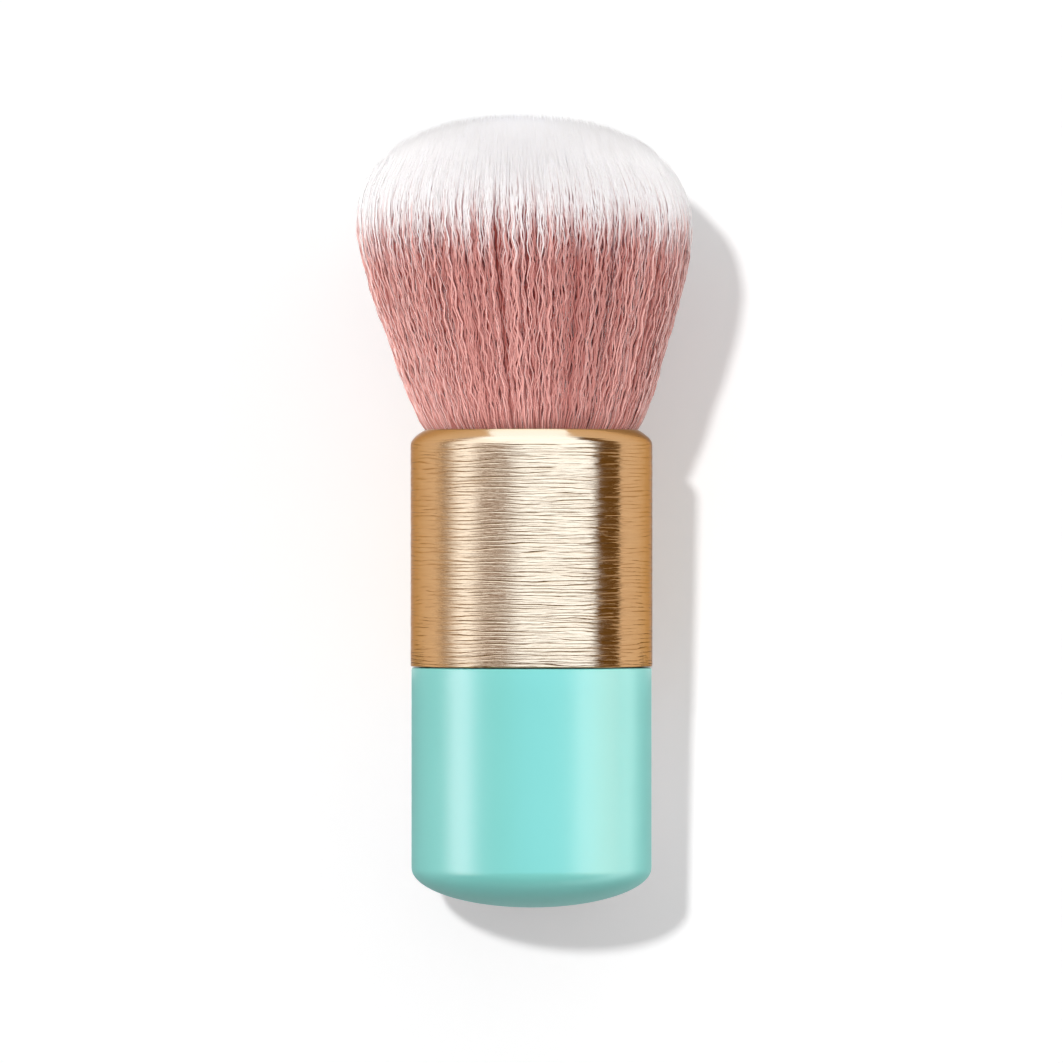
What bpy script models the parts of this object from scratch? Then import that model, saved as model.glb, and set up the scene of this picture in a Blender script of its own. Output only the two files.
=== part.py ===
"""A short foundation brush with a domed hair head, lying on its side. Metres, +Z up.

The hair knot is potted in a plastic cup. The cup sits under the turned-in lip of a spun ferrule,
and the ferrule is glued over the spigot of a plug that closes a hollow, weighted handle.

Every piece is modelled upright about the brush's own axis, with z = 0 at the ferrule's lip and
the hair above it. The whole brush is then laid on the floor, z = 0, with its hair towards +Y.
"""

import math

import bmesh
import bpy
import numpy as np
from mathutils import Euler

# Fits shared by all pieces
SEAT_GAP = 0.0003              # between two pieces that seat on each other
WELD_DISTANCE = 0.000001       # points of one mesh closer than this are one point

# Handle: a moulded cup, closed by a shallow dome
HANDLE_RADIUS = 0.0130
HANDLE_LENGTH = 0.0258
HANDLE_WALL = 0.0018
DOME_HEIGHT = 0.0043
RIM_CHAMFER = 0.00025
SOCKET_PAD = 0.0004            # what the socket's floor stands above the dished inner floor
SOCKET_DEPTH = 0.0095
SOCKET_WALL = 0.0014
WEB_THICKNESS = 0.0012
WEB_SINK = 0.0005              # how deep a web's edges reach into the walls that it joins
WEB_COUNT = 6

# Weight: a turned steel slug, standing in the handle's socket
WEIGHT_RADIUS = 0.0060
WEIGHT_LENGTH = 0.0130
WEIGHT_CHAMFER = 0.0006
CENTRE_DIMPLE_RADIUS = 0.0011
CENTRE_DIMPLE_DEPTH = 0.0008

# Ferrule: a spun tube with its top edge rolled inwards
FERRULE_STEP = 0.0001          # how far the ferrule stands proud of the handle
FERRULE_LENGTH = 0.0256
FERRULE_WALL = 0.0006
LIP_TURN_IN = 0.0016

# Plug: skirt in the handle, spigot in the ferrule
SPIGOT_LENGTH = 0.0125
SKIRT_LENGTH = 0.0075
PLUG_WALL = 0.0018
PLUG_FLOOR = 0.0018
POST_RADIUS = 0.0030
SPIGOT_CHAMFER = 0.0005
GROOVE_WIDTH = 0.0016
GROOVE_DEPTH = 0.0008
GROOVE_HEIGHT_SHARES = (0.28, 0.66)    # each groove's middle, along the spigot
SPIGOT_WEB_COUNT = 4
SPIGOT_WEB_SHARE = 0.6                 # a web's height, along the inside of the spigot

# Cup that holds the knot under the ferrule's lip
CUP_WALL = 0.0005
CUP_FLOOR = 0.0012

# Knot: the bound roots of the hair, with the band round it
ROOT_DROP = 0.0008             # the top of the knot, below the lip
ROOT_EDGE = 0.0005             # the bare edge of the knot, outside the outermost roots
KNOT_FLANGE = 0.0010
BAND_THICKNESS = 0.0006
BAND_WIDTH = 0.0023

# Hair: strands that flare from the lip to a belly and end on a dome
BELLY_HEIGHT = 0.0217
HEAD_SWELL = 0.0076            # how far the belly stands out past the roots
SHOULDER_RISE = 0.0058         # the outermost tips, above the belly
DOME_RISE = 0.0122             # the topmost tips, above the belly
TIP_SCATTER = 0.0004           # how far a tip may stand above or below the dome
ROOT_SINK = 0.0005             # how deep a strand is rooted in the knot
FLARE_POWER = 1.4
DOME_POWER = 2.35
LEAN_SHARE = 0.035             # sideways drift of the hair for its height
HAIR_RINGS = 11
STRANDS_PER_RING = 6           # a ring has this many times its number
STRAND_SIDES = 3
STRAND_SHARE = 0.40            # a strand's radius, against the distance between rings
JITTER_SHARE = 0.08            # how far a strand strays, against the distance to its neighbour
TAPER_SHARE = 0.85             # a tip's taper, against the shoulder's rise
SKIN_BEND_SHARES = (0.06, 0.22, 0.42, 0.64, 0.85)    # bends of the outermost ring, to the belly
UNDER_BEND_SHARES = (0.42,)                          # bends of the rings under it
UNDER_RINGS = 2
SCATTER_SEED = 7

# Facets
SHOWN_SIDES = 64
HIDDEN_SIDES = 40
ARC_STEPS = 6
DOME_STEPS = 10
DISH_STEPS = 5
GAP_LEVELS = 16

# Shared radii and levels
FERRULE_RADIUS = HANDLE_RADIUS + FERRULE_STEP
FERRULE_BORE = FERRULE_RADIUS - FERRULE_WALL
LIP_OPENING = FERRULE_RADIUS - LIP_TURN_IN
LIP_ROUND = LIP_TURN_IN - FERRULE_WALL / 2
HANDLE_BORE = HANDLE_RADIUS - HANDLE_WALL
SPIGOT_RADIUS = FERRULE_BORE - SEAT_GAP
SKIRT_RADIUS = HANDLE_BORE - SEAT_GAP
GROOVE_RADIUS = SPIGOT_RADIUS - GROOVE_DEPTH
CUP_BORE = SPIGOT_RADIUS - CUP_WALL
KNOT_RADIUS = LIP_OPENING - SEAT_GAP
BAND_BORE = KNOT_RADIUS - BAND_THICKNESS
KNOT_WAIST = BAND_BORE - SEAT_GAP
NECK_RADIUS = KNOT_RADIUS - ROOT_EDGE
BELLY_RADIUS = NECK_RADIUS + HEAD_SWELL

SHOULDER_LEVEL = -FERRULE_LENGTH
RIM_LEVEL = SHOULDER_LEVEL - SEAT_GAP
HEEL_LEVEL = RIM_LEVEL - HANDLE_LENGTH
DOME_LEVEL = HEEL_LEVEL + DOME_HEIGHT
DISH_LEVEL = HEEL_LEVEL + HANDLE_WALL
SOCKET_LEVEL = DISH_LEVEL + SOCKET_PAD
SPIGOT_LEVEL = SHOULDER_LEVEL + SPIGOT_LENGTH
WEIGHT_FOOT = SOCKET_LEVEL + SEAT_GAP
WEIGHT_TOP = WEIGHT_FOOT + WEIGHT_LENGTH
CUP_TOP = -LIP_ROUND - SEAT_GAP
CUP_FOOT = SPIGOT_LEVEL + SEAT_GAP
KNOT_TOP = -ROOT_DROP
WAIST_TOP = KNOT_TOP - KNOT_FLANGE
BAND_TOP = WAIST_TOP - SEAT_GAP
BAND_FOOT = BAND_TOP - BAND_WIDTH
KNOT_FOOT = BAND_FOOT - SEAT_GAP
ROOT_LEVEL = KNOT_TOP - ROOT_SINK
OUTER_TIP_HEIGHT = BELLY_HEIGHT + SHOULDER_RISE


def clear_scene():
    for old in list(bpy.data.objects):
        bpy.data.objects.remove(old, do_unlink=True)


def material(name, colour, roughness, metallic=0.0):
    """A Principled material with a linear colour."""
    made = bpy.data.materials.new(name)
    made.use_nodes = True
    shader = made.node_tree.nodes["Principled BSDF"]
    shader.inputs["Base Color"].default_value = (*colour, 1.0)
    shader.inputs["Roughness"].default_value = roughness
    shader.inputs["Metallic"].default_value = metallic
    return made


def add_object(name, mesh, finish=None):
    piece = bpy.data.objects.new(name, mesh)
    bpy.context.scene.collection.objects.link(piece)
    if finish is not None:
        mesh.materials.append(finish)
    return piece


def mesh_from(bm, name):
    """Welds and closes bm, turns its faces outwards and gives them as a mesh."""
    bmesh.ops.remove_doubles(bm, verts=bm.verts, dist=WELD_DISTANCE)
    bmesh.ops.recalc_face_normals(bm, faces=bm.faces)
    mesh = bpy.data.meshes.new(name)
    bm.to_mesh(mesh)
    bm.free()
    mesh.shade_smooth()
    mesh.set_sharp_from_angle(angle=math.radians(35))
    return mesh


def arc(centre, radius, start, end, steps):
    """Points of an arc in the profile's plane, from start to end, in degrees."""
    angles = np.radians(np.linspace(start, end, steps + 1))
    return [(centre[0] + radius * math.cos(a), centre[1] + radius * math.sin(a)) for a in angles]


def turned(name, profile, sides):
    """A mesh turned about the axis from a closed outline of (radius, height) points.

    A flat between two spokes faces +Y, the side that the brush lies on.
    """
    bm = bmesh.new()
    start = math.pi / 2 + math.pi / sides
    points = [bm.verts.new((r * math.cos(start), r * math.sin(start), z)) for r, z in profile]
    edges = [bm.edges.new((a, b)) for a, b in zip(points, points[1:])]
    if profile[0][0] > 0:
        edges.append(bm.edges.new((points[-1], points[0])))
    bmesh.ops.spin(bm, geom=points + edges, axis=(0, 0, 1), cent=(0, 0, 0),
                   angle=math.tau, steps=sides, use_merge=True)
    return mesh_from(bm, name)


def web_plates(name, outline, thickness, count):
    """Plates of an outline of (radius, height) points, standing like spokes round the axis."""
    bm = bmesh.new()
    for spoke in range(count):
        angle = math.tau * spoke / count
        along = np.array((math.cos(angle), math.sin(angle)))
        across = np.array((-math.sin(angle), math.cos(angle))) * thickness / 2
        near = [bm.verts.new((*(along * r - across), z)) for r, z in outline]
        face = bm.faces.new(near)
        grown = bmesh.ops.extrude_face_region(bm, geom=[face])
        moved = [item for item in grown["geom"] if isinstance(item, bmesh.types.BMVert)]
        bmesh.ops.translate(bm, verts=moved, vec=(*(2 * across), 0))
    return mesh_from(bm, name)


def join_to(piece, tool):
    """Unites the tool, which stays as a hidden guide, with the piece."""
    tool.hide_render = True
    tool.display_type = "WIRE"
    union = piece.modifiers.new("join", "BOOLEAN")
    union.operation = "UNION"
    union.solver = "EXACT"
    union.object = tool


def dome_height(radius, reach, height):
    """How far an elliptical dome of this reach and height has risen at a radius."""
    return height * (1 - math.sqrt(max(0.0, 1 - (radius / reach) ** 2)))


# Handle shell

def handle_shell(finish):
    """A cup with an elliptical end, a dished floor and a socket for the weight."""
    socket_bore = WEIGHT_RADIUS + SEAT_GAP
    socket_radius = socket_bore + SOCKET_WALL
    dish_height = DOME_HEIGHT - HANDLE_WALL
    profile = [(HANDLE_RADIUS * math.sin(a),
                DOME_LEVEL - DOME_HEIGHT * math.cos(a))
               for a in np.linspace(0, math.pi / 2, DOME_STEPS + 1)]
    profile[0] = (0, HEEL_LEVEL)
    profile += [(HANDLE_RADIUS, RIM_LEVEL - RIM_CHAMFER),
                (HANDLE_RADIUS - RIM_CHAMFER, RIM_LEVEL),
                (HANDLE_BORE + RIM_CHAMFER, RIM_LEVEL),
                (HANDLE_BORE, RIM_LEVEL - RIM_CHAMFER)]
    dish_radii = np.linspace(HANDLE_BORE, socket_radius, DISH_STEPS + 1)
    profile += [(r, DISH_LEVEL + dome_height(r, HANDLE_BORE, dish_height)) for r in dish_radii]
    profile += [(socket_radius, SOCKET_LEVEL + SOCKET_DEPTH),
                (socket_bore + RIM_CHAMFER, SOCKET_LEVEL + SOCKET_DEPTH),
                (socket_bore, SOCKET_LEVEL + SOCKET_DEPTH - RIM_CHAMFER),
                (socket_bore, SOCKET_LEVEL),
                (0, SOCKET_LEVEL)]
    shell = add_object("handle_shell", turned("handle_shell", profile, SHOWN_SIDES), finish)

    floor_radii = np.linspace(socket_bore + SOCKET_WALL / 2, HANDLE_BORE, DISH_STEPS + 1)
    outline = [(r, DISH_LEVEL + dome_height(r, HANDLE_BORE, dish_height) - WEB_SINK)
               for r in floor_radii]
    web_top = SOCKET_LEVEL + SOCKET_DEPTH / 2
    outline += [(HANDLE_BORE + WEB_SINK, DOME_LEVEL),
                (HANDLE_BORE + WEB_SINK, web_top),
                (socket_bore + SOCKET_WALL / 2, web_top)]
    webs = add_object("handle_webs", web_plates("handle_webs", outline, WEB_THICKNESS, WEB_COUNT))
    join_to(shell, webs)
    return shell, webs


# Handle weight

def handle_weight(finish):
    """A slug with chamfered ends and the dimple of the lathe's centre in its top."""
    profile = [(0, WEIGHT_FOOT),
               (WEIGHT_RADIUS - WEIGHT_CHAMFER, WEIGHT_FOOT),
               (WEIGHT_RADIUS, WEIGHT_FOOT + WEIGHT_CHAMFER),
               (WEIGHT_RADIUS, WEIGHT_TOP - WEIGHT_CHAMFER),
               (WEIGHT_RADIUS - WEIGHT_CHAMFER, WEIGHT_TOP),
               (CENTRE_DIMPLE_RADIUS, WEIGHT_TOP),
               (0, WEIGHT_TOP - CENTRE_DIMPLE_DEPTH)]
    return add_object("handle_weight", turned("handle_weight", profile, HIDDEN_SIDES), finish)


# Plug between handle and ferrule

def groove_levels():
    """The middle of each glue groove of the spigot."""
    return [SHOULDER_LEVEL + share * SPIGOT_LENGTH for share in GROOVE_HEIGHT_SHARES]


def handle_plug(finish):
    """A skirt in the handle's mouth, a spigot in the ferrule and a post on the weight."""
    post_foot = WEIGHT_TOP + SEAT_GAP
    skirt_foot = SHOULDER_LEVEL - SKIRT_LENGTH
    skirt_bore = SKIRT_RADIUS - PLUG_WALL
    spigot_bore = SPIGOT_RADIUS - PLUG_WALL
    floor_top = SHOULDER_LEVEL + PLUG_FLOOR
    profile = [(0, post_foot),
               (POST_RADIUS, post_foot),
               (POST_RADIUS, SHOULDER_LEVEL),
               (skirt_bore, SHOULDER_LEVEL),
               (skirt_bore, skirt_foot),
               (SKIRT_RADIUS - SPIGOT_CHAMFER, skirt_foot),
               (SKIRT_RADIUS, skirt_foot + SPIGOT_CHAMFER),
               (SKIRT_RADIUS, SHOULDER_LEVEL),
               (SPIGOT_RADIUS, SHOULDER_LEVEL)]
    for level in groove_levels():
        profile += [(SPIGOT_RADIUS, level - GROOVE_WIDTH / 2),
                    (GROOVE_RADIUS, level - GROOVE_WIDTH / 2),
                    (GROOVE_RADIUS, level + GROOVE_WIDTH / 2),
                    (SPIGOT_RADIUS, level + GROOVE_WIDTH / 2)]
    profile += [(SPIGOT_RADIUS, SPIGOT_LEVEL - SPIGOT_CHAMFER),
                (SPIGOT_RADIUS - SPIGOT_CHAMFER, SPIGOT_LEVEL),
                (spigot_bore, SPIGOT_LEVEL),
                (spigot_bore, floor_top),
                (0, floor_top)]
    plug = add_object("handle_plug", turned("handle_plug", profile, HIDDEN_SIDES), finish)

    web_top = floor_top + SPIGOT_WEB_SHARE * (SPIGOT_LEVEL - floor_top)
    outline = [(POST_RADIUS, floor_top - WEB_SINK),
               (spigot_bore + WEB_SINK, floor_top - WEB_SINK),
               (spigot_bore + WEB_SINK, web_top),
               (POST_RADIUS, web_top)]
    webs = add_object("spigot_webs",
                      web_plates("spigot_webs", outline, WEB_THICKNESS, SPIGOT_WEB_COUNT))
    join_to(plug, webs)
    return plug, webs


def glue_ring(name, level, finish):
    """The bead of glue that fills one groove of the spigot."""
    half = GROOVE_WIDTH / 2 - SEAT_GAP
    profile = [(GROOVE_RADIUS + SEAT_GAP, level - half),
               (SPIGOT_RADIUS, level - half),
               (SPIGOT_RADIUS, level + half),
               (GROOVE_RADIUS + SEAT_GAP, level + half)]
    return add_object(name, turned(name, profile, HIDDEN_SIDES), finish)


# Ferrule

def ferrule(finish):
    """A thin tube, open below, whose top edge is rolled in over the hair's roots."""
    lip_radius = LIP_OPENING + FERRULE_WALL / 2
    profile = [(FERRULE_BORE, SHOULDER_LEVEL), (FERRULE_RADIUS, SHOULDER_LEVEL)]
    profile += arc((lip_radius, -LIP_ROUND), LIP_ROUND, 0, 90, ARC_STEPS)
    profile += arc((lip_radius, -FERRULE_WALL / 2), FERRULE_WALL / 2, 90, 270, ARC_STEPS)[1:]
    profile += arc((lip_radius, -LIP_ROUND), LIP_ROUND - FERRULE_WALL, 90, 0, ARC_STEPS)[1:]
    return add_object("ferrule", turned("ferrule", profile, SHOWN_SIDES), finish)


# Knot cup, resin and band

def knot_cup(finish):
    """A thin cup that stands on the spigot and ends just under the rolled lip."""
    profile = [(0, CUP_FOOT),
               (SPIGOT_RADIUS, CUP_FOOT),
               (SPIGOT_RADIUS, CUP_TOP),
               (CUP_BORE, CUP_TOP),
               (CUP_BORE, CUP_FOOT + CUP_FLOOR + CUP_WALL),
               (CUP_BORE - CUP_WALL, CUP_FOOT + CUP_FLOOR),
               (0, CUP_FOOT + CUP_FLOOR)]
    return add_object("knot_cup", turned("knot_cup", profile, HIDDEN_SIDES), finish)


def resin_bed(finish):
    """The resin that pots the knot: it fills the cup from its floor to the hair's roots."""
    radius = CUP_BORE - SEAT_GAP
    foot = CUP_FOOT + CUP_FLOOR + SEAT_GAP
    top = KNOT_FOOT - SEAT_GAP
    profile = [(0, foot), (radius - CUP_WALL, foot), (radius, foot + CUP_WALL),
               (radius, top), (0, top)]
    return add_object("resin_bed", turned("resin_bed", profile, HIDDEN_SIDES), finish)


def knot_band(finish):
    """The band that binds the roots, in the waist of the knot."""
    profile = [(BAND_BORE, BAND_FOOT), (KNOT_RADIUS, BAND_FOOT),
               (KNOT_RADIUS, BAND_TOP), (BAND_BORE, BAND_TOP)]
    return add_object("knot_band", turned("knot_band", profile, HIDDEN_SIDES), finish)


# Hair

def hair_outline(height):
    """The radius of the hair's outside, from its roots in the knot to the belly."""
    rise = np.clip((height - ROOT_LEVEL) / (BELLY_HEIGHT - ROOT_LEVEL), 0, 1)
    return NECK_RADIUS + HEAD_SWELL * (1 - (1 - rise) ** FLARE_POWER)


def hair_dome(height):
    """The radius of the dome of tips, from the belly to the top."""
    rise = np.clip((height - BELLY_HEIGHT) / DOME_RISE, 0, 1)
    return BELLY_RADIUS * (1 - rise ** DOME_POWER) ** (1 / DOME_POWER)


def ring_reach(height):
    """How far out the outermost ring of strands runs.

    Every strand runs at its own fixed share of this reach. The reach only ever bends inwards, so
    a strand with fewer bends than the one outside it runs clear of it, and none cross. Above the
    belly the reach closes evenly towards the outermost tips.
    """
    belly_reach = BELLY_RADIUS / (1 + STRAND_SHARE / HAIR_RINGS)
    below = hair_outline(height) / (1 + STRAND_SHARE / HAIR_RINGS)
    closing = (belly_reach - hair_dome(OUTER_TIP_HEIGHT)) / SHOULDER_RISE
    above = belly_reach - closing * (height - BELLY_HEIGHT)
    return np.where(height < BELLY_HEIGHT, below, above)


def tip_height(share):
    """Where a strand at this share of the reach meets the dome, found by halving."""
    low, high = BELLY_HEIGHT, BELLY_HEIGHT + DOME_RISE
    for _ in range(40):
        middle = (low + high) / 2
        if hair_dome(middle) > share * ring_reach(middle):
            low = middle
        else:
            high = middle
    return low


def strand_stations(ring, share, scatter):
    """The heights of a strand's bends, from its root to the start of its tip, and of the tip."""
    tip = tip_height(share) + scatter
    shares = ()
    if ring == HAIR_RINGS:
        shares = SKIN_BEND_SHARES
    elif ring >= HAIR_RINGS - UNDER_RINGS:
        shares = UNDER_BEND_SHARES
    heights = [ROOT_LEVEL]
    heights += [BELLY_HEIGHT * bend for bend in shares]
    heights.append(tip - TAPER_SHARE * SHOULDER_RISE)
    return np.array(heights), tip


def strand_places():
    """Each strand's ring, its share of the reach and its angle, ring by ring."""
    scatter = np.random.default_rng(SCATTER_SEED)
    golden_angle = math.pi * (3 - math.sqrt(5))
    places = [(0, 0.0, 0.0)]
    for ring in range(1, HAIR_RINGS + 1):
        count = STRANDS_PER_RING * ring
        stray = JITTER_SHARE if ring < HAIR_RINGS else 0.0
        turn = golden_angle * (HAIR_RINGS - ring)
        for place in range(count):
            step = place + 0.5 + stray * scatter.uniform(-1, 1)
            angle = math.pi / 2 + turn + math.tau * step / count
            share = (ring + stray * scatter.uniform(-1, 1)) / HAIR_RINGS
            places.append((ring, share, angle))
    return places


def strand_centres(heights, share, angle):
    """The middle of a strand at each height: on its share of the reach, leaning to -X."""
    reach = share * ring_reach(heights)
    lean = LEAN_SHARE * np.maximum(heights, 0)
    return np.column_stack((reach * math.cos(angle) - lean, reach * math.sin(angle), heights))


def add_strand(bm, ring, share, angle, scatter):
    """A tapering strand: sections at its bends, closed below and drawn to a point above."""
    heights, tip = strand_stations(ring, share, scatter)
    radii = STRAND_SHARE / HAIR_RINGS * ring_reach(heights)
    centres = strand_centres(heights, share, angle)
    turns = angle + math.tau * np.arange(STRAND_SIDES) / STRAND_SIDES
    rounds = np.column_stack((np.cos(turns), np.sin(turns), np.zeros(STRAND_SIDES)))
    sections = [[bm.verts.new(centre + radius * corner) for corner in rounds]
                for centre, radius in zip(centres, radii)]
    point = bm.verts.new(strand_centres(np.array([tip]), share, angle)[0])
    bm.faces.new(reversed(sections[0]))
    for side in range(STRAND_SIDES):
        after = (side + 1) % STRAND_SIDES
        for low, high in zip(sections, sections[1:]):
            bm.faces.new((low[side], low[after], high[after], high[side]))
        bm.faces.new((sections[-1][side], sections[-1][after], point))


def least_strand_gap(places):
    """The least gap between two strands' round outsides, at levels up to the outermost tips."""
    levels = np.linspace(KNOT_TOP, OUTER_TIP_HEIGHT, GAP_LEVELS)
    reaches = []
    for ring, share, _ in places:
        heights, _ = strand_stations(ring, share, 0)
        reaches.append(np.interp(levels, heights, ring_reach(heights)))
    reaches = np.array(reaches)
    shares = np.array([share for _, share, _ in places])
    angles = np.array([angle for _, _, angle in places])
    gaps = []
    for reach in reaches.T:
        spots = (reach * shares) * np.exp(1j * angles)
        radii = STRAND_SHARE / HAIR_RINGS * reach
        apart = np.abs(spots[:, None] - spots) - radii[:, None] - radii
        np.fill_diagonal(apart, np.inf)
        gaps.append(apart.min())
    return min(gaps)


def fibre_head(finish):
    """The hair, rooted in the knot: a disc with a waist for the band."""
    places = strand_places()
    scatter = np.random.default_rng(SCATTER_SEED + 1)
    bm = bmesh.new()
    for ring, share, angle in places:
        add_strand(bm, ring, share, angle, TIP_SCATTER * scatter.uniform(-1, 1))
    head = add_object("fibre_head", mesh_from(bm, "fibre_head"), finish)
    print(len(places), "strands, least gap", round(float(least_strand_gap(places)), 6))

    profile = [(0, KNOT_FOOT), (KNOT_WAIST, KNOT_FOOT), (KNOT_WAIST, WAIST_TOP),
               (KNOT_RADIUS, WAIST_TOP), (KNOT_RADIUS, KNOT_TOP), (0, KNOT_TOP)]
    knot = add_object("knot_disc", turned("knot_disc", profile, HIDDEN_SIDES))
    join_to(head, knot)
    return head, knot


# Laying the brush down

def points_of(piece):
    return np.array([vertex.co[:] for vertex in piece.data.vertices])


def rest_tilt(hair, handle):
    """The tilt at which the hair and the handle's heel touch the floor together, by halving."""
    low, high = 0.0, math.pi / 4
    for _ in range(40):
        tilt = (low + high) / 2
        hair_low = (hair[:, 2] * math.sin(tilt) - hair[:, 1] * math.cos(tilt)).min()
        heel_low = (handle[:, 2] * math.sin(tilt) - handle[:, 1] * math.cos(tilt)).min()
        if hair_low < heel_low:
            low = tilt
        else:
            high = tilt
    return low


def lay_down(pieces, head, handle):
    """Parents the pieces to an empty that lays the brush on the floor, centred on the origin."""
    root = bpy.data.objects.new("brush", None)
    bpy.context.scene.collection.objects.link(root)
    tilt = rest_tilt(points_of(head), points_of(handle))
    root.rotation_euler = Euler((tilt - math.pi / 2, 0, 0))
    turn = np.array(root.rotation_euler.to_matrix())
    outside = np.concatenate((points_of(head), points_of(handle))) @ turn.T
    middle = (outside.min(axis=0) + outside.max(axis=0)) / 2
    root.location = (-middle[0], -middle[1], -outside[:, 2].min())
    for piece in pieces:
        piece.parent = root


clear_scene()
mint = material("mint_plastic", (0.28, 0.77, 0.71), 0.32)
gold = material("gold_aluminium", (0.80, 0.56, 0.30), 0.30, metallic=1.0)
natural = material("natural_plastic", (0.75, 0.74, 0.70), 0.45)
steel = material("steel", (0.52, 0.52, 0.53), 0.35, metallic=1.0)
glue = material("glue", (0.80, 0.72, 0.50), 0.25)
resin = material("resin", (0.62, 0.48, 0.26), 0.20)
band_metal = material("band_metal", (0.75, 0.75, 0.76), 0.35, metallic=1.0)
pink_fibre = material("pink_fibre", (0.70, 0.34, 0.30), 0.55)

shell, shell_webs = handle_shell(mint)
weight = handle_weight(steel)
plug, plug_webs = handle_plug(natural)
rings = [glue_ring(f"glue_ring_{number}", level, glue)
         for number, level in enumerate(groove_levels(), start=1)]
tube = ferrule(gold)
cup = knot_cup(natural)
bed = resin_bed(resin)
band = knot_band(band_metal)
head, knot = fibre_head(pink_fibre)
lay_down([shell, shell_webs, weight, plug, plug_webs, *rings, tube, cup, bed, band, head, knot],
         head, shell)
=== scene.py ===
import math

import bpy
import mathutils
import numpy as np
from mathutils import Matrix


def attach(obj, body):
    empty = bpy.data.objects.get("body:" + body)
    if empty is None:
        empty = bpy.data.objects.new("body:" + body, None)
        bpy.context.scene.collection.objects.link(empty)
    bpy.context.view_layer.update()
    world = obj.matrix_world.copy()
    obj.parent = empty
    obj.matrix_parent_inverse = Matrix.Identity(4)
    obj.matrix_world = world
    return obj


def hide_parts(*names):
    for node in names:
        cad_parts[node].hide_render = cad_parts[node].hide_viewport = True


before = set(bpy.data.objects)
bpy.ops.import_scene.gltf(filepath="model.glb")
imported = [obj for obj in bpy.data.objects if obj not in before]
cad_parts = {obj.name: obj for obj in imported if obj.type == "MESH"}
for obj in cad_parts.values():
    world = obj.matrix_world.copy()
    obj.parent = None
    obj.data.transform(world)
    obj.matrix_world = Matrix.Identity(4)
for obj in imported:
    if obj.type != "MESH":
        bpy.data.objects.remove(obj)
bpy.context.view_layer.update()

# Camera: a long lens that looks straight down on the lying brush, square to its axis, so that it
# is upright in the picture. The brush lies on its side along +Y, tilted until the handle's heel
# and the hair's belly touch the floor. Its coordinates are across, down and along from the lip.
BRUSH_TILT = math.radians(4.275068)
LIP_CENTRE = np.array((0.000825202, 0.00869018, 0.01648164))
CAMERA_DISTANCE = 1.2
CAMERA_AIM = -0.01099             # the picture's middle, along the brush from the lip
PICTURE_WIDTH = 0.11515           # what the picture spans at the brush's axis
SENSOR_WIDTH = 36.0               # in millimetres, as the lens is
CAMERA_REACH = 20


def laid(points):
    """Brush coordinates in the frame: each is a share of the across, down and along directions
    of the tilted brush, added to the centre of its lip."""
    down = (0, math.sin(BRUSH_TILT), -math.cos(BRUSH_TILT))
    along = (0, math.cos(BRUSH_TILT), math.sin(BRUSH_TILT))
    return points @ np.array(((1, 0, 0), down, along)) + LIP_CENTRE


lens = bpy.data.cameras.new("camera")
lens.sensor_fit = "HORIZONTAL"
lens.sensor_width = SENSOR_WIDTH
lens.lens = SENSOR_WIDTH * CAMERA_DISTANCE / PICTURE_WIDTH
lens.clip_end = CAMERA_REACH
camera = bpy.data.objects.new("camera", lens)
bpy.context.scene.collection.objects.link(camera)
camera.location = laid(np.array(((0, -CAMERA_DISTANCE, CAMERA_AIM),)))[0]
camera.rotation_euler = (BRUSH_TILT, 0, 0)
bpy.context.scene.camera = camera
bpy.context.scene.view_settings.view_transform = "Standard"

# Studio light: half from one soft lamp at the upper left, which throws the flat grey shadow, and
# half from the pale room all round. Gloss shows the studio's cards: soft boxes along the brush,
# with a dim gap at the left and a dark one at the right, and another card beyond the tips.
KEY_DIRECTION = (-0.285, 0.225, 1.0)
KEY_STRENGTH = 1.73
KEY_SPREAD = math.radians(3.6)
FILL_TOWARDS = (0.34, 0.52, 0.80)
FILL_LEAST, FILL_MOST = 0.09, 0.725
CARD_SCALE = 5.0                  # the ramp holds each card's brightness divided by this
CARD_ENDS = (0.12, 0.50)          # where the cards fade out, as a share of a look along -Y
CARD_END_COLOUR = (0.22, 0.20, 0.18)
FAR_CARD = (0.34, 0.52)           # where the card beyond the tips fades in, as a share along +Y
FAR_CARD_MIDDLE, FAR_CARD_HALF = -0.05, (0.36, 0.56)       # and where it fades out to the sides
FAR_CARD_COLOUR = (1.85, 2.85, 4.9)
GAP_EDGES = ((-58, -50, 1), (-10, -24, -1))       # degrees right of straight up, and which way
GAP_REACH = (0.08, 0.36)          # where the dim gap ends, as a share along either way of Y
GAP_COLOUR = (0.47, 0.50, 0.66)
CARD_BANDS = (                    # degrees right of straight up, and the card's colour there
    (-180, (0.60, 0.58, 0.55)), (-97, (0.60, 0.58, 0.55)),
    (-92, (0.55, 0.56, 0.60)), (-88, (0.62, 0.66, 0.76)),
    (-83, (1.08, 1.30, 1.75)), (-73, (1.74, 2.44, 3.90)),
    (-40, (1.74, 2.44, 3.90)), (-15, (1.84, 2.84, 5.00)),
    (62, (1.84, 2.84, 5.00)), (66, (0.19, 0.125, 0.035)),
    (92, (0.19, 0.125, 0.035)), (94, (0.60, 0.58, 0.55)), (180, (0.60, 0.58, 0.55)))


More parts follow.
